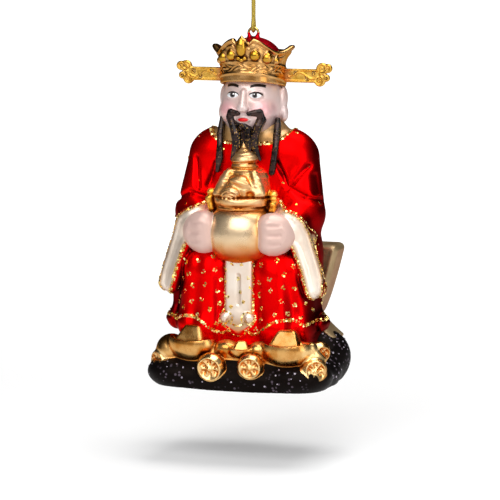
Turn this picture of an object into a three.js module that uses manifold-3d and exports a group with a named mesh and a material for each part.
// A hanging ornament of blown glass: a seated god of wealth in a red robe, holding a pot of treasure,
// on a black base heaped with gold ingots and coins. Two cast cloud-ended wings are glued to the sides
// of his crown, and a metal eyelet on top of his cap carries a loop of cord closed by a knot.
// Millimetres, +Z up, the figure faces -Y, and the origin is the middle of the flat underside.

import * as THREE from "three";
import Module from "manifold-3d";
import { mergeVertices } from "three/addons/utils/BufferGeometryUtils.js";

const wasm = await Module();
wasm.setup();

// Driving sizes of the glass: the base, and the figure that sits on it.
const baseWidth = 73;
const baseDepth = 56;
const baseHeight = 11.5;
const figureHeight = 119; // from the base's top to the top of the cap
const figureSetBack = 3; // of the figure's axis behind the middle of the base
const footSink = 1; // how far the robe sinks into the base
const underCut = 3; // how much is cut off below to make the flat underside

// Driving sizes of the cast wings.
const wingLength = 18.5; // from the crown's side to the far end
const wingBarHeight = 5.2;
const wingThickness = 1.8;
const wingEndHeight = 8.8;

// Driving sizes of the eyelet and the cord.
const ringDiameter = 4.7; // outside
const ringWire = 0.95;
const ringFootDiameter = 3.6;
const cordDiameter = 1.25;
const cordRise = 15; // from the eyelet's top to the middle of the knot
const knotDiameter = 3.6;
const fitGap = 0.3; // between pieces that touch

// How finely the glass is worked, and how many faces it keeps.
const glassStep = 1.05;
const glassFaces = 7200;
const wingStep = 0.42;
const wingFaces = 480;

// The sculpture is laid out this high, and everything in it is a share of that.
const laidOutHeight = 119;
const scale = figureHeight / laidOutHeight;

// A shape is a function of a point that gives its distance to the surface, negative inside.

const clamp = (value, low, high) => Math.min(high, Math.max(low, value));
const mix = (a, b, share) => a + (b - a) * share;
const degrees = (angle) => (angle * Math.PI) / 180;

function smoothStep(low, high, value) {
  const t = clamp((value - low) / (high - low), 0, 1);
  return t * t * (3 - 2 * t);
}

// One soft hill of height 1.
const bump = (value, middle, width) => Math.exp(-(((value - middle) / width) ** 2));

const smoothMin = (a, b, soft) => {
  const h = Math.max(soft - Math.abs(a - b), 0) / soft;
  return Math.min(a, b) - (h * h * soft) / 4;
};

const ellipsoid = ([cx, cy, cz], [rx, ry, rz]) => (x, y, z) => {
  const [u, v, w] = [(x - cx) / rx, (y - cy) / ry, (z - cz) / rz];
  const near = Math.sqrt(u * u + v * v + w * w);
  const slope = Math.sqrt((u / rx) ** 2 + (v / ry) ** 2 + (w / rz) ** 2);
  return slope < 1e-9 ? -Math.min(rx, ry, rz) : (near * (near - 1)) / slope;
};

// A rod from one end to the other with its own radius at each.
const rod = ([ax, ay, az], [bx, by, bz], startRadius, endRadius) => {
  const [dx, dy, dz] = [bx - ax, by - ay, bz - az];
  const squared = dx * dx + dy * dy + dz * dz;
  return (x, y, z) => {
    const t = clamp(((x - ax) * dx + (y - ay) * dy + (z - az) * dz) / squared, 0, 1);
    const away = Math.hypot(x - ax - t * dx, y - ay - t * dy, z - az - t * dz);
    return away - mix(startRadius, endRadius, t);
  };
};

const strand = (points, startRadius, endRadius) => {
  const last = points.length - 1;
  const radiusAt = (i) => mix(startRadius, endRadius, i / last);
  return blend(
    0.6,
    ...points.slice(1).map((point, i) => rod(points[i], point, radiusAt(i), radiusAt(i + 1))),
  );
};

// The shape inside all of several limits, with its edges rounded off.
const rounded = (outs, rounding) => {
  let squared = 0;
  let most = -Infinity;
  for (const out of outs) {
    most = Math.max(most, out + rounding);
    squared += Math.max(out + rounding, 0) ** 2;
  }
  return Math.sqrt(squared) + Math.min(most, 0) - rounding;
};

const box = ([cx, cy, cz], [hx, hy, hz], rounding) => (x, y, z) =>
  rounded([Math.abs(x - cx) - hx, Math.abs(y - cy) - hy, Math.abs(z - cz) - hz], rounding);

// A ring lying flat round a vertical axis.
const ring = ([cx, cy, cz], radius, thickness, height = thickness) => (x, y, z) => {
  const out = (Math.hypot(x - cx, y - cy) - radius) / thickness;
  const up = (z - cz) / height;
  return (Math.hypot(out, up) - 1) * Math.min(thickness, height);
};

// A standing body from rows of [height, half width, front, back], smoothly joined.
const column = (rows, squareness = 2.4) => {
  const low = rows[0][0];
  const high = rows[rows.length - 1][0];
  return (x, y, z) => {
    const at = clamp(z, low, high);
    let i = 1;
    while (i < rows.length - 1 && rows[i][0] < at) i += 1;
    const t = smoothStep(rows[i - 1][0], rows[i][0], at);
    const half = mix(rows[i - 1][1], rows[i][1], t);
    const front = mix(rows[i - 1][2], rows[i][2], t);
    const back = mix(rows[i - 1][3], rows[i][3], t);
    const deep = (back - front) / 2;
    const u = Math.abs(x) / half;
    const v = Math.abs(y - (front + back) / 2) / deep;
    const round = (u ** squareness + v ** squareness) ** (1 / squareness);
    const side = (round - 1) * Math.min(half, deep);
    const end = Math.abs(z - (low + high) / 2) - (high - low) / 2;
    return Math.max(side, end);
  };
};

const blend = (soft, ...shapes) => (x, y, z) => {
  let near = shapes[0](x, y, z);
  for (let i = 1; i < shapes.length; i += 1) near = smoothMin(near, shapes[i](x, y, z), soft);
  return near;
};

const carve = (soft, shape, ...cuts) => (x, y, z) => {
  let near = -shape(x, y, z);
  for (const cut of cuts) near = smoothMin(near, cut(x, y, z), soft);
  return -near;
};

const bothSides = (shape) => (x, y, z) => shape(Math.abs(x), y, z);
const moved = (shape, [dx, dy, dz]) => (x, y, z) => shape(x - dx, y - dy, z - dz);
const sized = (shape, size) => (x, y, z) => shape(x / size, y / size, z / size) * size;

// The shape turned about an axis through a point: "x" tips it forward and back, "y" leans it
// sideways and "z" swivels it.
const turned = (shape, axis, angle, [px, py, pz]) => {
  const [c, s] = [Math.cos(degrees(angle)), Math.sin(degrees(angle))];
  return (x, y, z) => {
    const [u, v, w] = [x - px, y - py, z - pz];
    if (axis === "x") return shape(x, py + c * v + s * w, pz - s * v + c * w);
    if (axis === "y") return shape(px + c * u - s * w, y, pz + s * u + c * w);
    return shape(px + c * u + s * v, py - s * u + c * v, z);
  };
};

// The base: a low rock with soft lobes, its flat underside cut later.
function base() {
  const [w, d, h] = [baseWidth / 2, baseDepth / 2, baseHeight];
  const slab = column(
    [
      [-underCut, w * 0.88, -d * 0.92, d * 0.9],
      [h * 0.35, w * 0.93, -d * 0.97, d * 0.95],
      [h, w * 0.8, -d * 0.84, d * 0.84],
    ],
    2.6,
  );
  const lobe = (x, y, radius, high) =>
    ellipsoid([x * w, y * d, high * 0.42], [radius, radius, high * 0.6]);
  return blend(
    3,
    slab,
    bothSides(lobe(0.64, -0.5, 12.6, h)),
    bothSides(lobe(0.63, 0, 12, h)),
    bothSides(lobe(0.63, 0.5, 12, h * 1.66)),
    lobe(0, 0.6, 12, h * 1.2),
  );
}

// A boat-shaped ingot of half length 1 with its faceted hump, about the middle of its underside.
function ingot() {
  const hull = ellipsoid([0, 0, 0.62], [1, 0.66, 0.66]);
  const boat = (x, y, z) => Math.max(hull(x, y, z), z - (0.6 + 0.26 * x * x));
  const hump = (x, y, z) => {
    const narrow = 1 - clamp(z - 0.5, 0, 1) * 0.62;
    return box([0, 0, 0.9], [0.66 * narrow, 0.5 * narrow, 0.44], 0.08)(x, y, z);
  };
  return blend(0.07, boat, hump);
}

// A coin of radius 1 facing the viewer, with a rim, a boss and petals round it.
function coin() {
  return (x, y, z) => {
    const away = Math.hypot(x, z);
    const petals = 0.08 * Math.cos(6 * Math.atan2(z, x));
    const relief = 0.16 * bump(away, 0.8, 0.12) + 0.2 * bump(away, 0, 0.2) + petals * bump(away, 0.5, 0.18);
    return rounded([Math.abs(y) - 0.36 - relief, away - 1], 0.2);
  };
}

// The heap of gold along the front of the base, about the middle of the flat underside.
function treasure() {
  const place = (shape, size, at, swivel, tip) =>
    moved(
      turned(turned(sized(shape, size), "x", tip, [0, 0, 0]), "z", swivel, [0, 0, 0]),
      at,
    );
  const coins = [
    [5.6, [-7.4, -25.4, 8.8], -4, 12],
    [5, [8, -25.6, 9.8], 6, 12],
    [4.9, [31, -19.8, 8.6], 34, 4],
    [4.4, [31.6, -15.4, 14.6], 44, 20],
    [4.7, [-29.8, -17.6, 9], -36, 8],
  ];
  const crumple = strand(
    [
      [24.5, -18.4, 16.4],
      [29.4, -18.8, 16.6],
      [32.8, -17, 12.4],
    ],
    2.6,
    1.9,
  );
  return blend(
    0.8,
    place(ingot(), 9.8, [-17.2, -21.2, 10.6], -10, -10),
    place(ingot(), 10.2, [20, -21.4, 10], -4, -10),
    place(ingot(), 4.9, [3.6, -22.6, 12.2], 10, -8),
    ...coins.map((entry) => place(coin(), ...entry)),
    crumple,
    ellipsoid([0, -18.6, 12.4], [28, 6.6, 5]),
    ellipsoid([-26.4, -15.6, 13], [6, 6, 6]),
    ellipsoid([28, -15, 12], [6, 7, 6]),
  );
}

// From here on, heights are above the base's top in the sculpture's layout, about its own axis.

// The low-backed seat behind the figure, waisted, with a raised edge and splayed feet.
function seat() {
  const half = (z) =>
    22.8 +
    8.3 * (Math.max(z - 13, 0) / 25) ** 0.75 +
    7.8 * (clamp(13 - z, 0, 8.2) / 8) ** 1.3 -
    4 * smoothStep(4.4, 1.8, z);
  return (x, y, z) => {
    const out = Math.abs(x) - half(clamp(z, 0, 38));
    const up = Math.abs(z - 19.4) - 20.9;
    const thick = Math.abs(y - 12.6) - 6.2 - 0.7 * bump(Math.max(out, up), -1.4, 1.2);
    return rounded([out, up, thick], 2.4);
  };
}

// Valleys between the folds on the skirt's front: where each runs above and below, how deep, how wide.
const skirtFolds = [
  [-24.4, -26, 0.9, 1.8],
  [-15.4, -17, 1.5, 2.5],
  [-8.2, -7.6, 0.9, 1.6],
  [8.6, 8.2, 0.7, 1.5],
  [18.2, 21.2, 1.5, 2.4],
  [26, 28, 0.9, 1.6],
];

// The skirt of the robe over the knees and shins, with its folds and flared hem.
function skirt() {
  const body = column([
    [-footSink, 23.5, -15.6, 2.4],
    [6, 26, -17.6, 3],
    [10.5, 27.2, -18.4, 3.2],
    [13, 28, -18.6, 3.2],
    [24, 28.6, -17.4, 3],
    [34, 27.4, -15.2, 7],
    [43, 18, -9, 12],
  ]);
  const behind = box([0, 0, 20], [20.5, 10, 21], 5);
  const knee = ellipsoid([13.4, -10.4, 33.6], [11.7, 9, 8.6]);
  const shin = rod([13.6, -11, 30], [14.8, -11.6, 11], 9.8, 9.8);
  const solid = blend(3, body, behind, bothSides(blend(3, knee, shin)));
  return (x, y, z) => {
    const low = smoothStep(40, 14, z);
    const front = smoothStep(0, -9, y);
    const side = Math.atan2(x, -(y + 2));
    const share = clamp((z - 14) / 22, 0, 1);
    let valleys = 0;
    for (const [above, under, depth, width] of skirtFolds) {
      valleys += depth * bump(x, mix(under, above, share), width);
    }
    const folds = (0.35 - valleys) * (0.45 + 0.55 * low) * front * smoothStep(43, 36, z);
    const pleats = 0.8 * Math.cos(side * 8) * (1 - front) * low;
    const flare = 1.3 * bump(z, 11.5, 4);
    return solid(x, y, z) - folds - pleats - flare;
  };
}

// The cream panel that hangs between the knees and ends in two curls.
function apron() {
  const panel = box([0.3, -16.4, 25], [5.4, 3.4, 14.5], 1.6);
  const tongue = ellipsoid([0.3, -17.6, 13.6], [6.9, 2.9, 5.8]);
  const curl = ellipsoid([4.5, -19.5, 14.6], [1.9, 1.5, 2]);
  const groove = rod([0.4, -20.4, 32], [0.4, -20.6, 20.4], 0.9, 0.9);
  const hollow = rod([2.2, -21, 15.6], [3.6, -21, 12.8], 0.9, 0.8);
  return carve(0.6, blend(1.2, panel, tongue, bothSides(curl)), groove, bothSides(hollow));
}

function torso() {
  const body = column([
    [33, 20, -9, 12],
    [50, 20, -9.6, 12],
    [64, 19.5, -9.6, 11.5],
    [76, 17.4, -8.8, 10],
    [81, 15.6, -8.8, 9],
    [85, 14, -8.2, 8],
    [89, 12, -7, 7],
  ]);
  const shoulder = ellipsoid([15.4, 0.6, 74.6], [9.4, 8.8, 9.6]);
  return blend(4, body, bothSides(shoulder));
}

// An arm in its wide sleeve, with the cuff hanging beside the knee.
function sleeve() {
  const upper = rod([17.4, 1, 73.6], [20.4, -3.5, 54], 8, 8.6);
  const fore = rod([20.5, -5, 52], [17.5, -13.6, 49], 8.4, 7.2);
  const hang = turned(ellipsoid([22.4, -5, 41], [6, 9.2, 14.6]), "y", -8, [22.4, -5, 41]);
  const at = [24.7, -14.2, 38];
  const cuff = turned(turned(box(at, [4.4, 3.4, 15.6], 3.2), "z", 26, at), "y", -18, at);
  return bothSides(blend(2.4, upper, fore, hang, cuff));
}

// A closed hand on the pot's side, with grooves between its four fingers.
function hand() {
  const at = [15.2, -18.2, 46.8];
  const egg = ellipsoid([12.8, -18.2, 46.8], [9.8, 6, 8.2]);
  const block = box(at, [7.4, 5.2, 8], 3.6);
  const palm = (x, y, z) => Math.max(egg(x, y, z), block(x, y, z));
  const grooves = [
    [8, 50.3],
    [8.4, 46.7],
    [9, 43.2],
  ].map(([x, z]) => rod([x, -23.6, z], [15.4, -23.7, z + 0.2], 0.75, 0.5));
  return bothSides(turned(carve(1, palm, ...grooves), "z", 24, at));
}

// The round pot, its rim and ears, and the draped treasure in it up to the pointed jewel.
function pot() {
  const [y, far] = [-14, -11.8];
  const bowl = ellipsoid([0, y, 46.3], [13.8, 12, 12.2]);
  const ear = blend(
    0.8,
    rod([9.6, y, 61.4], [12.2, y, 61.3], 1.4, 1.4),
    rod([12.2, y, 61.3], [12.9, y, 58.8], 1.4, 1.45),
    rod([12.9, y, 58.8], [11.8, y - 0.5, 55.4], 1.4, 1.3),
    box([10.8, y + 1, 58.6], [1.8, 1, 3.4], 0.8),
  );
  const scroll = blend(
    0.5,
    ellipsoid([12.7, y - 1.3, 60.6], [1.9, 1.5, 1.9]),
    ellipsoid([12.5, y - 1.5, 57.6], [1.3, 1.2, 1.2]),
  );
  const tent = column(
    [
      [57, 10, -22, -6.4],
      [60.6, 10.7, -22.8, -6],
      [64.4, 10.1, -21.6, -6],
      [67, 9.4, -19.8, -6],
      [68.8, 8.3, -18, -5.6],
      [70.2, 6.9, -17, -6],
      [71, 5, -16, -7],
    ],
    2.2,
  );
  const drape = blend(
    2,
    moved(tent, [0.5, 0, 0]),
    rod([-4.4, -16.6, 69.2], [-8, -19, 61.6], 1.2, 1.6),
    rod([5.6, -16.6, 69.2], [9, -18.8, 62], 1.2, 1.6),
    ellipsoid([0.8, -19.6, 66], [3.6, 1.9, 2.4]),
  );
  const valleys = [
    rod([-2.6, -18.6, 69], [-5.6, -21.8, 64], 0.8, 0.5),
    rod([4, -18.6, 69], [6.6, -21, 64.4], 0.8, 0.5),
  ];
  const recess = ellipsoid([0.6, -24.4, 61.6], [6.8, 2.3, 3]);
  const hole = ellipsoid([5.6, -23, 61.2], [1.7, 1.4, 1.3]);
  const shell = ellipsoid([-2.2, -21.8, 60.4], [4.1, 2, 3.9]);
  const collar = ellipsoid([0.5, far, 71.5], [5.1, 4.8, 1.7]);
  const outline = [
    [72.6, 4.9],
    [73.6, 5.3],
    [74.6, 4.9],
    [75.5, 4.2],
    [76.8, 2.7],
    [78.5, 1.2],
    [80.3, 0.3],
  ];
  const bulb = column(
    outline.map(([z, half]) => [z, half, far - 0.95 * half, far + 0.95 * half]),
    2,
  );
  const jewel = turned(moved(bulb, [0.6, 0, 0]), "y", -6, [0.6, far, 73]);
  return blend(
    0.8,
    bowl,
    ring([0, y, 58.6], 8.2, 2, 1.7),
    ring([0, y, 56], 8.4, 1.1, 0.7),
    bothSides(ear),
    scroll,
    carve(1, drape, ...valleys, recess, hole),
    shell,
    collar,
    jewel,
  );
}

// The head under the crown: calm, plain features on ordinary proportions.
function head() {
  const skull = ellipsoid([0, -0.6, 95], [11.7, 12, 13.4]);
  const jaw = ellipsoid([0, -2.8, 89.4], [10.4, 9.4, 7.6]);
  const cheek = ellipsoid([5.8, -8.4, 91.6], [4.4, 3.9, 4.2]);
  const ear = blend(
    1,
    ellipsoid([11.7, 0.6, 96], [1.5, 2.8, 4.6]),
    ellipsoid([12.1, 0, 90.4], [1.6, 2.1, 3.2]),
  );
  const nose = blend(
    1,
    rod([0, -12, 99], [0, -13.6, 93.6], 1, 1.4),
    ellipsoid([0, -13.4, 93], [2.2, 1.8, 1.5]),
  );
  const socket = ellipsoid([4.5, -13.2, 97.8], [2.9, 1.6, 1.8]);
  const lid = ellipsoid([4.5, -10.6, 97.6], [2.4, 1.6, 1.4]);
  const lips = ellipsoid([0, -12.2, 88.6], [2.5, 1.1, 0.9]);
  const shaped = carve(1.4, blend(2, skull, jaw, bothSides(cheek)), bothSides(socket));
  return blend(0.9, shaped, bothSides(ear), nose, bothSides(lid), lips);
}

// A lock of hair through rows of [x, y, z, half width], flat in front and deep behind.
const ribbon = (rows) => {
  const [flat, deep] = [0.62, 2.8];
  const piece = ([ax, ay, az, start], [bx, by, bz, end]) => {
    const [dx, dz] = [bx - ax, bz - az];
    return (x, y, z) => {
      const t = clamp(((x - ax) * dx + (z - az) * dz) / (dx * dx + dz * dz), 0, 1);
      const across = Math.hypot(x - ax - t * dx, z - az - t * dz);
      const out = y - mix(ay, by, t);
      return (Math.hypot(across, out / (out < 0 ? flat : deep)) - mix(start, end, t)) * 0.7;
    };
  };
  return blend(0.1, ...rows.slice(1).map((row, n) => piece(rows[n], row)));
};

const moustacheLeft = [
  [-1.9, -13.1, 91, 0.7],
  [-4.8, -12.3, 91.3, 1.3],
  [-5.4, -12, 89.2, 1.4],
  [-4.2, -12.5, 86.4, 1.4],
  [-2.8, -13, 83, 1.8],
  [-2.5, -12.9, 79.4, 1.7],
  [-3.6, -12.4, 76.2, 1.2],
  [-4.7, -11.8, 73.8, 0.7],
];
const moustacheRight = [
  [2.1, -13.1, 91, 0.7],
  [6.2, -11.9, 91.5, 1.4],
  [6.8, -11.6, 89, 1.5],
  [5.5, -12.4, 86.2, 1.6],
  [4.7, -13, 82.6, 1.5],
  [4.6, -12.9, 79.2, 1.4],
  [5.2, -12.2, 76.4, 1.1],
  [6.3, -11.6, 73.8, 0.6],
];
const chinBeard = [
  [-2.6, -11.6, 87.6, 0.9],
  [0.2, -12, 86.2, 1.1],
  [1.9, -12.3, 85, 1],
  [2.2, -12.4, 81.4, 0.9],
  [2.5, -12.2, 77, 0.7],
];
const beardBehind = [
  [0.6, -10.9, 85.6, 1.7],
  [0.4, -10.7, 78, 2.4],
];
const lockLeft = [
  [-10.5, -6, 88.6, 0.9],
  [-10.7, -7.8, 82.8, 1.3],
  [-10.5, -9, 78.4, 1.2],
  [-10.4, -9.6, 73.4, 1.5],
  [-11.1, -9.8, 69, 0.8],
];
const lockRight = [
  [11.4, -6, 88.4, 1],
  [11.6, -7.8, 82.8, 1.4],
  [11.5, -9, 78.2, 1.2],
  [11, -9.8, 73.4, 1.2],
  [10.4, -10.2, 69, 1.2],
];

// The long moustache, beard and side locks, laid on as flat ribbons.
function hair() {
  const locks = [moustacheLeft, moustacheRight, chinBeard, beardBehind, lockLeft, lockRight];
  return blend(0.3, ...locks.map(ribbon));
}

// The crown: a band round the brow, a waved wall above it with drops and beads, a point at each
// ear, and the round cap inside.
const crownAxisY = -0.6;
const crownFoot = [102.9, 2.1]; // height in front, and how much lower it sits at the ears
const crownBands = [
  [106.2, 3.5],
  [110.5, 2.6],
];
const capTop = 119;

function crownWallRadius(z) {
  return 11.5 + 1.2 * smoothStep(108, 118, z);
}

// How high the wall's edge stands at an angle from the front.
function crownEdge(angle) {
  const a = Math.abs(angle);
  const wave = 119.2 - 5.2 * smoothStep(0.25, 1.15, a);
  return wave + 2.2 * bump(a, 1.62, 0.22) - 1.4 * bump(a, 0.19, 0.07);
}

function crown() {
  const about = (x, y) => [Math.atan2(x, -(y - crownAxisY)), Math.hypot(x, y - crownAxisY)];
  const footAt = (angle) => crownFoot[0] - crownFoot[1] * (1 - Math.cos(angle));
  const wall = (x, y, z) => {
    const [angle, away] = about(x, y);
    const flare = bump(Math.abs(angle), 1.62, 0.3) * smoothStep(110, 116.5, z);
    const thick = Math.abs(away - crownWallRadius(z) - 2.6 * flare) - 0.9;
    return rounded([thick, Math.max(z - crownEdge(angle), footAt(angle) - z)], 0.7);
  };
  const bands = crownBands.map(([front, fall]) => (x, y, z) => {
    const [angle, away] = about(x, y);
    return Math.hypot(away - 12.1, z - front + fall * (1 - Math.cos(angle))) - 0.6;
  });
  const drop = (angle, z, size) => {
    const out = crownWallRadius(z) + 0.8;
    const at = [out * Math.sin(angle), crownAxisY - out * Math.cos(angle), z];
    return blend(
      0.5,
      ellipsoid(at, [size, size * 0.8, size]),
      rod(at, [at[0] * 1.02, at[1] - 0.1, z + size * 1.7], size * 0.55, 0.35),
    );
  };
  const leaf = blend(
    0.5,
    ellipsoid([-0.3, crownAxisY - 12.7, 116.2], [1.9, 1.5, 3.7]),
    rod([-0.3, crownAxisY - 13, 116.8], [-0.3, crownAxisY - 12.8, 119.9], 1.5, 0.4),
  );
  const drops = [
    [0.36, 112.8, 1.95],
    [0.73, 111.7, 2.05],
    [1.06, 110.4, 1.4],
  ].map(([angle, z, size]) => bothSides(drop(angle, z, size)));
  const cap = ellipsoid([0, 0, capTop - 9.8], [11.2, 11.2, 9.8]);
  const filling = (x, y, z) => {
    const [angle, away] = about(x, y);
    return Math.max(away - crownWallRadius(z), z - crownEdge(angle) + 2.2, footAt(angle) + 0.4 - z);
  };
  return blend(0.4, wall, filling, ...bands, leaf, ...drops, cap);
}

function figure() {
  return blend(
    0.7,
    seat(),
    blend(1.2, skirt(), apron()),
    blend(1.5, torso(), sleeve()),
    blend(0.8, hand(), pot()),
    blend(0.6, head(), crown()),
    hair(),
  );
}

const wholeFigure = figure();
const heap = treasure();
const rock = base();

function glass(x, y, z) {
  const body = wholeFigure(x / scale, (y - figureSetBack) / scale, (z - baseHeight) / scale) * scale;
  return smoothMin(smoothMin(body, heap(x, y, z), 0.8), rock(x, y, z), 1);
}

// A wing of the crown about its root on the crown's side: a flat bar that ends in four round lobes,
// with a raised edge and a raised boss on each lobe. x runs outwards and z up.
const wingLobes = [
  [-3.9, 2.7, 2.3],
  [-1.75, 2.9, 1.75],
  [-2.3, -0.7, 1.4],
  [-4.8, -1.8, 2.15],
].map((lobe) => lobe.map((value) => (value * wingEndHeight) / 8.8));
const wingSink = 2; // how far the bar runs into the crown before it is cut to fit

function wing() {
  const barEnd = wingLength + wingLobes[0][0];
  const half = wingThickness / 2;
  return (x, y, z) => {
    const bar = Math.max(
      Math.abs(z) - wingBarHeight / 2,
      Math.abs(x - (barEnd - wingSink) / 2) - (barEnd + wingSink) / 2,
    );
    let outline = bar;
    let boss = 0;
    for (const [inwards, up, radius] of wingLobes) {
      const away = Math.hypot(x - wingLength - inwards, z - up);
      outline = smoothMin(outline, away - radius, 0.5);
      boss += Math.exp(-((away / (radius * 0.45)) ** 2));
    }
    const edge = bump(outline, -0.5, 0.35);
    return rounded([outline, Math.abs(y) - half + 0.25 - 0.25 * Math.max(edge, boss)], 0.3);
  };
}

// The surface where shape equals level inside a box, by marching through the six tetrahedra of
// each grid cube. If closed, the box's sides end the solid where it runs out of the box.
function surfaceOf(shape, low, high, step, level = 0, closed = false) {
  const counts = low.map((l, k) => Math.ceil((high[k] - l) / step) + 1);
  const [nx, ny, nz] = counts;
  const values = new Float32Array(nx * ny * nz);
  const at = (i, j, k) => (k * ny + j) * nx + i;
  const place = (i, axis) => low[axis] + i * step;
  fillValues(shape, values, counts, place, step, level);
  if (closed) closeSides(values, counts);

  const corners = [...Array(8).keys()].map((c) => at(c & 1, (c >> 1) & 1, (c >> 2) & 1));
  const paths = [
    [1, 2, 4], [2, 4, 1], [4, 1, 2], // these three turn one way
    [2, 1, 4], [1, 4, 2], [4, 2, 1], // and these the other
  ];
  const tetrahedra = paths.map(([a, b], n) => (n < 3 ? [0, a, a + b, 7] : [0, a + b, a, 7]));
  const points = [];
  const found = new Map();
  const crossing = (a, b) => {
    const [p, q] = a < b ? [a, b] : [b, a];
    const key = p * values.length + q;
    if (!found.has(key)) {
      const t = clamp(values[p] / (values[p] - values[q]), 0.08, 0.92);
      const [i, j] = [p, q].map((n) => [n % nx, Math.floor(n / nx) % ny, Math.floor(n / (nx * ny))]);
      found.set(key, points.length);
      points.push(i.map((n, axis) => place(mix(n, j[axis], t), axis)));
    }
    return found.get(key);
  };
  const faces = [];
  const even = [[0, 1, 2, 3], [1, 0, 3, 2], [2, 0, 1, 3], [3, 0, 2, 1]];
  const pairs = [[0, 1, 2, 3], [0, 2, 3, 1], [0, 3, 1, 2], [1, 2, 0, 3], [1, 3, 2, 0], [2, 3, 0, 1]];
  for (let k = 0; k < nz - 1; k += 1) {
    for (let j = 0; j < ny - 1; j += 1) {
      for (let i = 0; i < nx - 1; i += 1) {
        const first = at(i, j, k);
        const inside = corners.filter((c) => values[first + c] < 0).length;
        if (inside === 0 || inside === 8) continue;
        for (const tetrahedron of tetrahedra) {
          const v = tetrahedron.map((c) => first + corners[c]);
          const within = v.map((n) => values[n] < 0);
          const count = within.filter(Boolean).length;
          if (count === 1 || count === 3) {
            const [a, b, c, d] = even.find(([n]) => within[n] === (count === 1)).map((n) => v[n]);
            const face = [crossing(a, b), crossing(a, c), crossing(a, d)];
            faces.push(count === 1 ? face : face.reverse());
          } else if (count === 2) {
            const [a, b, c, d] = pairs.find(([m, n]) => within[m] && within[n]).map((n) => v[n]);
            const quad = [crossing(a, c), crossing(a, d), crossing(b, d), crossing(b, c)];
            faces.push([quad[0], quad[1], quad[2]], [quad[0], quad[2], quad[3]]);
          }
        }
      }
    }
  }
  return { points, faces };
}

// The outer skin alone, without the skins of hollows left inside the solid.
function outerSkin({ points, faces }) {
  const parent = points.map((_, n) => n);
  const root = (n) => {
    let at = n;
    while (parent[at] !== at) {
      parent[at] = parent[parent[at]];
      at = parent[at];
    }
    return at;
  };
  for (const [a, b, c] of faces) {
    parent[root(a)] = root(b);
    parent[root(b)] = root(c);
  }
  const sizes = new Map();
  for (const [a] of faces) sizes.set(root(a), (sizes.get(root(a)) ?? 0) + 1);
  const largest = [...sizes].sort((a, b) => b[1] - a[1])[0][0];
  const fresh = new Map();
  const kept = [];
  const number = (n) => {
    if (!fresh.has(n)) {
      fresh.set(n, kept.length);
      kept.push(points[n]);
    }
    return fresh.get(n);
  };
  const outer = faces.filter(([a]) => root(a) === largest).map((face) => face.map(number));
  return { points: kept, faces: outer };
}

// Makes the box's own sides the surface where they cut through the shape.
function closeSides(values, [nx, ny, nz]) {
  for (let n = 0; n < values.length; n += 1) {
    const [i, j, k] = [n % nx, Math.floor(n / nx) % ny, Math.floor(n / (nx * ny))];
    const side = i === 0 || j === 0 || k === 0 || i === nx - 1 || j === ny - 1 || k === nz - 1;
    if (side) values[n] = Math.max(values[n], 1);
  }
}

// Samples the shape on the grid, and only roughly in blocks that lie well away from its surface.
function fillValues(shape, values, [nx, ny, nz], place, step, level) {
  const block = 6;
  const reach = step * block * 0.9;
  for (let k0 = 0; k0 < nz; k0 += block) {
    for (let j0 = 0; j0 < ny; j0 += block) {
      for (let i0 = 0; i0 < nx; i0 += block) {
        const half = (block - 1) / 2;
        const middle = shape(place(i0 + half, 0), place(j0 + half, 1), place(k0 + half, 2)) - level;
        const far = Math.abs(middle) > reach * 1.6;
        for (let k = k0; k < Math.min(k0 + block, nz); k += 1) {
          for (let j = j0; j < Math.min(j0 + block, ny); j += 1) {
            for (let i = i0; i < Math.min(i0 + block, nx); i += 1) {
              values[(k * ny + j) * nx + i] = far
                ? middle
                : shape(place(i, 0), place(j, 1), place(k, 2)) - level;
            }
          }
        }
      }
    }
  }
}

// Collapses the edges that change the surface least, until the wanted number of faces is left.
// Where care is higher, more of them are kept.
function simplified({ points, faces }, wanted, care = () => 1) {
  const place = points.map((p) => [...p]);
  let left = faces;
  while (left.length > wanted) {
    const before = left.length;
    left = collapsePass(place, left, wanted, care);
    if (before - left.length < 10) break;
  }
  return { points: place, faces: left };
}

const minus = (a, b) => [a[0] - b[0], a[1] - b[1], a[2] - b[2]];
const cross = (a, b) => [a[1] * b[2] - a[2] * b[1], a[2] * b[0] - a[0] * b[2], a[0] * b[1] - a[1] * b[0]];
const dot = (a, b) => a[0] * b[0] + a[1] * b[1] + a[2] * b[2];
const faceNormal = (a, b, c) => cross(minus(b, a), minus(c, a));

// The squared distance to a set of planes, kept as ten sums.
function quadricsOf(place, faces, care) {
  const quadrics = place.map(() => new Float64Array(10));
  for (const face of faces) {
    const normal = faceNormal(...face.map((n) => place[n]));
    const size = Math.sqrt(dot(normal, normal)) || 1e-12;
    const weight = size * care(place[face[0]]);
    const [a, b, c] = normal.map((n) => n / size);
    const d = -dot([a, b, c], place[face[0]]);
    const sums = [a * a, a * b, a * c, a * d, b * b, b * c, b * d, c * c, c * d, d * d];
    for (const n of face) sums.forEach((value, i) => (quadrics[n][i] += value * weight));
  }
  return quadrics;
}

function quadricError(q, [x, y, z]) {
  return (
    q[0] * x * x + 2 * q[1] * x * y + 2 * q[2] * x * z + 2 * q[3] * x + q[4] * y * y +
    2 * q[5] * y * z + 2 * q[6] * y + q[7] * z * z + 2 * q[8] * z + q[9]
  );
}

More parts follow.
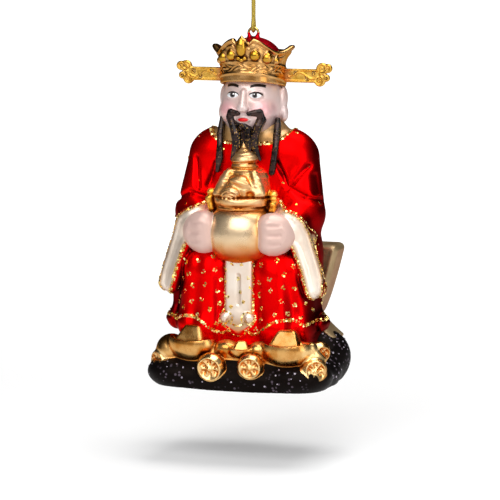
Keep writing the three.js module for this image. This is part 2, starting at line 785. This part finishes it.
// The point where two joined vertices cost least: the quadric's own lowest point if it has one
// near the edge, or else the edge's middle.
function bestPlace(q, a, b) {
  const middle = a.map((value, k) => (value + b[k]) / 2);
  const rows = [[q[0], q[1], q[2]], [q[1], q[4], q[5]], [q[2], q[5], q[7]]];
  const weight = 1e-3 * (q[0] + q[4] + q[7]);
  rows.forEach((row, k) => (row[k] += weight));
  const right = [-q[3] + weight * middle[0], -q[6] + weight * middle[1], -q[8] + weight * middle[2]];
  const [r0, r1, r2] = rows;
  const whole = dot(r0, cross(r1, r2));
  if (Math.abs(whole) < 1e-18) return middle;
  const columns = [0, 1, 2].map((k) => rows.map((row) => row[k]));
  const solved = [0, 1, 2].map((k) => {
    const swapped = columns.map((column, n) => (n === k ? right : column));
    return dot(swapped[0], cross(swapped[1], swapped[2])) / whole;
  });
  const reach = 1.2 * Math.hypot(...minus(a, b));
  return Math.hypot(...minus(solved, middle)) < reach ? solved : middle;
}

function collapsePass(place, faces, wanted, care) {
  const quadrics = quadricsOf(place, faces, care);
  const around = place.map(() => []);
  faces.forEach((face, i) => face.forEach((n) => around[n].push(i)));
  const neighbours = (n) => new Set(around[n].flatMap((i) => faces[i]).filter((m) => m !== n));
  const edges = [];
  for (const face of faces) {
    for (let k = 0; k < 3; k += 1) {
      const [a, b] = [face[k], face[(k + 1) % 3]];
      if (a > b) continue;
      const sum = quadrics[a].map((value, i) => value + quadrics[b][i]);
      const at = bestPlace(sum, place[a], place[b]);
      const long = Math.hypot(...minus(place[a], place[b]));
      edges.push([Math.abs(quadricError(sum, at)) + 1e-4 * long * long, a, b, at]);
    }
  }
  edges.sort((p, q) => p[0] - q[0]);
  const busy = new Uint8Array(place.length);
  const gone = new Uint8Array(faces.length);
  let count = faces.length;
  for (const [, a, b, at] of edges.slice(0, Math.ceil(edges.length * 0.35))) {
    if (count <= wanted) break;
    if (busy[a] || busy[b]) continue;
    const [nearA, nearB] = [neighbours(a), neighbours(b)];
    const shared = [...nearA].filter((n) => nearB.has(n));
    if (shared.length !== 2) continue;
    const kept = [...around[a], ...around[b]].filter((i) => !(faces[i].includes(a) && faces[i].includes(b)));
    const flips = kept.some((i) => {
      const old = faceNormal(...faces[i].map((n) => place[n]));
      const now = faceNormal(...faces[i].map((n) => (n === a || n === b ? at : place[n])));
      const size = Math.hypot(...old) * Math.hypot(...now);
      return dot(old, now) < 0.25 * size || Math.hypot(...now) < 1e-3;
    });
    if (flips) continue;
    place[a] = at;
    for (const i of around[b]) {
      if (faces[i].includes(a)) gone[i] = 1;
      else faces[i] = faces[i].map((n) => (n === b ? a : n));
    }
    count -= 2;
    for (const n of [a, b, ...nearA, ...nearB]) busy[n] = 1;
  }
  return faces.filter((_, i) => !gone[i]);
}

// A solid for joining and cutting, and back to a three.js geometry.
function solidOf({ points, faces }) {
  const vertProperties = Float32Array.from(points.flat());
  const triVerts = Uint32Array.from(faces.flat());
  return new wasm.Manifold(new wasm.Mesh({ numProp: 3, vertProperties, triVerts }));
}

function solidFrom(geometry, [dx, dy, dz]) {
  const bare = geometry.clone().translate(dx, dy, dz);
  for (const name of ["normal", "uv"]) bare.deleteAttribute(name);
  const merged = mergeVertices(bare, 1e-4);
  return new wasm.Manifold(
    new wasm.Mesh({
      numProp: 3,
      vertProperties: Float32Array.from(merged.getAttribute("position").array),
      triVerts: Uint32Array.from(merged.index.array),
    }),
  );
}

function geometryOf(solid) {
  const mesh = solid.getMesh();
  const geometry = new THREE.BufferGeometry();
  geometry.setAttribute("position", new THREE.BufferAttribute(mesh.vertProperties, 3));
  geometry.setIndex(new THREE.BufferAttribute(mesh.triVerts, 1));
  geometry.computeVertexNormals();
  return geometry;
}

const group = new THREE.Group();

function addPiece(name, geometry, color, roughness, metalness) {
  const mesh = new THREE.Mesh(geometry, new THREE.MeshStandardMaterial({ color, roughness, metalness }));
  mesh.name = name;
  group.add(mesh);
  return mesh;
}

const reachX = Math.max(baseWidth / 2 + 4, 38 * scale);
const reachY = Math.max(baseDepth / 2 + 6, 32 * scale);
const glassTop = baseHeight + (laidOutHeight + 4) * scale;
const headFoot = baseHeight + 83 * scale;
const below = solidFrom(new THREE.BoxGeometry(4 * reachX, 4 * reachY, 4 * baseHeight), [0, 0, -2 * baseHeight]);
const glassMesh = simplified(
  outerSkin(
    surfaceOf(glass, [-reachX, -reachY, -underCut - 3 * glassStep], [reachX, reachY, glassTop], glassStep),
  ),
  glassFaces,
  ([, , z]) => (z > headFoot ? 3 : 1),
);

// The eyelet stands in a round seat in the top of the cap.
const capPoint = baseHeight + capTop * scale;
const footHeight = 1.5;
const footRise = 0.15; // of the foot above the cap
const footAxisY = figureSetBack;
const footTop = capPoint + footRise;
const seatFloor = footTop - footHeight - fitGap;
const seatRadius = ringFootDiameter / 2 + fitGap;
const seatReach = 3 * footHeight; // the cut runs well out of the top of the glass
const seatHole = new THREE.CylinderGeometry(seatRadius, seatRadius, seatReach, 24).rotateX(Math.PI / 2);
const glassSolid = solidOf(glassMesh)
  .subtract(below)
  .subtract(solidFrom(seatHole, [0, footAxisY, seatFloor + seatReach / 2]));
addPiece("glass_figure", geometryOf(glassSolid), 0xb01018, 0.3, 0.5);

// The wings are cut back to clear the crown's surface.
const wingHeight = baseHeight + 104.7 * scale;
const wingRootX = 12.3 * scale;
const wingAxisY = figureSetBack + 0.4;
for (const [name, side] of [["left_wing", -1], ["right_wing", 1]]) {
  const shape = wing();
  const plate = simplified(
    surfaceOf(
      shape,
      [-wingSink - 1, -wingThickness, -wingEndHeight],
      [wingLength + 1, wingThickness, wingEndHeight],
      wingStep,
    ),
    wingFaces,
  );
  const points = plate.points.map(([x, y, z]) => [side * (wingRootX + x), wingAxisY + y, wingHeight + z]);
  const faces = side > 0 ? plate.faces : plate.faces.map((face) => [...face].reverse());
  const inner = side > 0 ? 0 : -wingRootX - 6;
  const around = surfaceOf(
    glass,
    [inner, wingAxisY - 12, wingHeight - 12],
    [inner + wingRootX + 6, wingAxisY + 12, wingHeight + 12],
    0.9,
    fitGap + 0.1,
    true,
  );
  const solid = solidOf({ points, faces }).subtract(solidOf(outerSkin(around)));
  addPiece(name, geometryOf(solid), 0xd2aa3c, 0.4, 0.9);
}

// The eyelet and its foot.
const ringRadius = (ringDiameter - ringWire) / 2;
const ringCentre = footTop - ringWire + ringDiameter / 2;
const loop = new THREE.TorusGeometry(ringRadius, ringWire / 2, 10, 28).rotateX(Math.PI / 2);
const foot = new THREE.CylinderGeometry(ringFootDiameter / 2 - 0.4, ringFootDiameter / 2, footHeight, 24)
  .rotateX(Math.PI / 2);
const eyelet = solidFrom(loop, [0, footAxisY, ringCentre])
  .add(solidFrom(foot, [0, footAxisY, footTop - footHeight / 2]));
addPiece("hanging_ring", geometryOf(eyelet), 0xc8a050, 0.3, 1);

// The cord: a loop through the eyelet, its two strands one before the other, up into the knot.
const cordRadius = cordDiameter / 2;
const saddle = ringCentre + ringRadius - ringWire / 2 - fitGap - cordRadius;
const knotHeight = ringCentre + ringDiameter / 2 + cordRise;
const strandGap = cordDiameter / 2 + 0.12;
const round = ringWire / 2 + fitGap + cordRadius;
const knotFoot = knotHeight - knotDiameter * 0.55;
const halfLoop = [
  [round * 0.72, saddle + 0.28],
  [round, saddle + 1.2],
  [round * 0.98, saddle + 2.4],
  [strandGap, saddle + 5],
  [strandGap, saddle + 8],
  [strandGap, knotFoot - 0.3],
];
const cordPath = new THREE.CatmullRomCurve3(
  [
    ...[...halfLoop].reverse().map(([y, z]) => new THREE.Vector3(0, footAxisY - y, z)),
    new THREE.Vector3(0, footAxisY, saddle),
    ...halfLoop.map(([y, z]) => new THREE.Vector3(0, footAxisY + y, z)),
  ],
  false,
  "centripetal",
);
const cordSection = new THREE.Shape();
for (let i = 0; i < 8; i += 1) {
  const angle = (i * Math.PI) / 4;
  const at = [cordRadius * Math.cos(angle), cordRadius * Math.sin(angle)];
  if (i === 0) cordSection.moveTo(...at);
  else cordSection.lineTo(...at);
}
const cordGeometry = new THREE.ExtrudeGeometry(cordSection, {
  steps: 44,
  extrudePath: cordPath,
  bevelEnabled: false,
});
addPiece("hanging_cord", cordGeometry, 0xbea53c, 0.6, 0.5);

// The knot that closes the loop.
const knot = new THREE.SphereGeometry(knotDiameter / 2, 12, 8).scale(1, 0.9, 1.15);
addPiece("cord_knot", knot, 0xbea53c, 0.6, 0.5).position.set(0, footAxisY, knotHeight + 0.5);

export default group;
